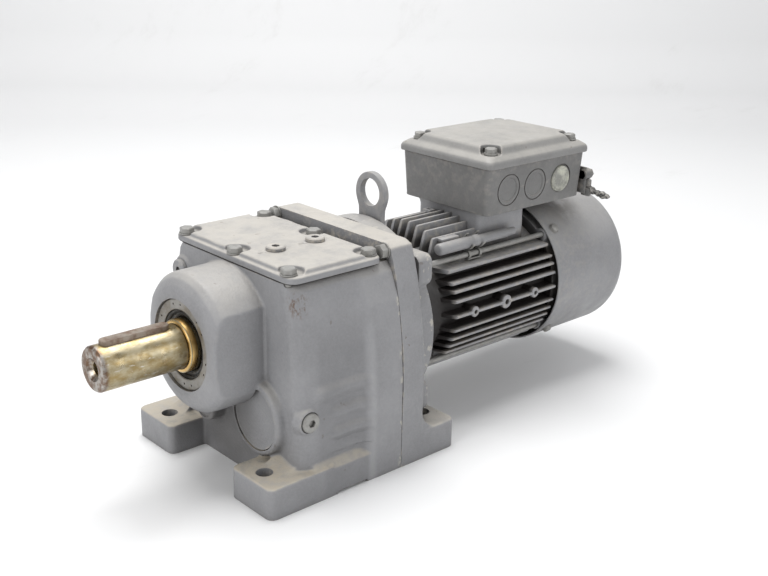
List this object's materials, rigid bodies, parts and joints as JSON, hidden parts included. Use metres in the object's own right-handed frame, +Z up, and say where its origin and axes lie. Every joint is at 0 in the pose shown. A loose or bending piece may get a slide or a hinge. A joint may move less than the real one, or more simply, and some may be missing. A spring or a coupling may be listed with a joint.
{
  "type": "foot-mounted inline gearmotor",
  "caption": "Inline gear reducer with feet, keyed output shaft, bolted top cover, finned brake motor, terminal box, lifting eye and a stored hand-release lever.",
  "frame": {"origin": "middle of the footprint at the underside of the feet, on the vertical plane through the shaft axis", "axes": "+X from the output shaft end towards the fan, +Z up, -Y the side with the stored lever and the cable entries"},
  "size_m": [0.545, 0.19, 0.238],
  "materials": {
    "cast": "grey painted casting, satin, dusty on top",
    "grey_paint": "satin grey paint over pressed or cast metal",
    "grey_paint_lid": "satin grey paint, worn at the corners",
    "oiled_steel": "ground steel with a yellow film of preserving oil",
    "rusty_key_steel": "drawn steel with rust",
    "steel": "machined steel",
    "zinc_plated": "zinc plated, partly overpainted",
    "seal_rubber": "black nitrile rubber",
    "winding": "lacquered copper winding in laminations",
    "plastic": "black moulded plastic",
    "bright_plug": "pale worn blanking plug",
    "friction_lining": "pressed friction lining",
    "gasket_paper": "dark gasket sheet"
  },
  "bodies": {
    "housing": {"gearcase": "cast", "rear_plate": "cast", "gearcase_cover": "cast", "motor_flange": "cast", "stator_housing": "cast", "rear_end_shield": "cast", "closing_cap_large": "cast", "closing_cap_small": "cast", "fan_cover": "grey_paint", "terminal_box": "grey_paint", "lifting_eye": "grey_paint", "filler_plug": "grey_paint", "breather_plug": "grey_paint", "front_plug": "grey_paint", "earth_clamp": "grey_paint", "terminal_lid": "grey_paint_lid", "output_bearing_front": "steel", "output_bearing_rear": "steel", "lay_bearing_front": "steel", "lay_bearing_rear": "steel", "motor_bearing_front": "steel", "motor_bearing_rear": "steel", "brake_coil": "steel", "level_plug": "steel", "cover_screw_1": "zinc_plated", "cover_screw_2": "zinc_plated", "cover_screw_3": "zinc_plated", "cover_screw_4": "zinc_plated", "cover_screw_5": "zinc_plated", "cover_screw_6": "zinc_plated", "flange_screw_1": "zinc_plated", "flange_screw_2": "zinc_plated", "tie_rod_1": "zinc_plated", "tie_rod_2": "zinc_plated", "tie_rod_3": "zinc_plated", "tie_rod_4": "zinc_plated", "fan_cover_screw_1": "zinc_plated", "fan_cover_screw_2": "zinc_plated", "fan_cover_screw_3": "zinc_plated", "fan_cover_screw_4": "zinc_plated", "lid_screw_1": "zinc_plated", "lid_screw_2": "zinc_plated", "lid_screw_3": "zinc_plated", "lid_screw_4": "zinc_plated", "lever_clip": "zinc_plated", "output_oil_seal": "seal_rubber", "stator_core": "winding", "terminal_block": "plastic", "entry_plug": "bright_plug", "cover_gasket": "gasket_paper"},
    "output": {"output_shaft": "oiled_steel", "output_key": "rusty_key_steel", "output_wheel": "steel"},
    "lay_shaft": {"pinion_shaft": "steel", "intermediate_wheel": "steel"},
    "motor_rotor": {"rotor": "steel", "brake_disc": "friction_lining", "fan": "plastic"},
    "brake_plate": {"brake_pressure_plate": "steel"},
    "lever": {"release_lever": "zinc_plated"}
  },
  "joints": [
    {"name": "output_spin", "type": "hinge", "parent": "housing", "child": "output", "pos_m": [-0.2375, 0, 0.115], "axis": [1, 0, 0], "continuous": true},
    {"name": "lay_spin", "type": "hinge", "parent": "housing", "child": "lay_shaft", "pos_m": [-0.0975, -0.03966, 0.05732], "axis": [1, 0, 0], "continuous": true},
    {"name": "rotor_spin", "type": "hinge", "parent": "housing", "child": "motor_rotor", "pos_m": [0.0835, 0, 0.101], "axis": [1, 0, 0], "continuous": true},
    {"name": "brake_plate_slide", "type": "slide", "parent": "housing", "child": "brake_plate", "axis": [1, 0, 0], "range_m": [0, 0.0006], "stiffness_N_per_m": 5000, "springref_m": -0.001},
    {"name": "lever_lift", "type": "slide", "parent": "housing", "child": "lever", "axis": [0, -0.7071, 0.7071], "range_m": [0, 0.045]}
  ],
  "couplings": [
    {"joint": "lay_spin", "follows": "output_spin", "ratio": -2.7333},
    {"joint": "rotor_spin", "follows": "output_spin", "ratio": 4.597}
  ]
}
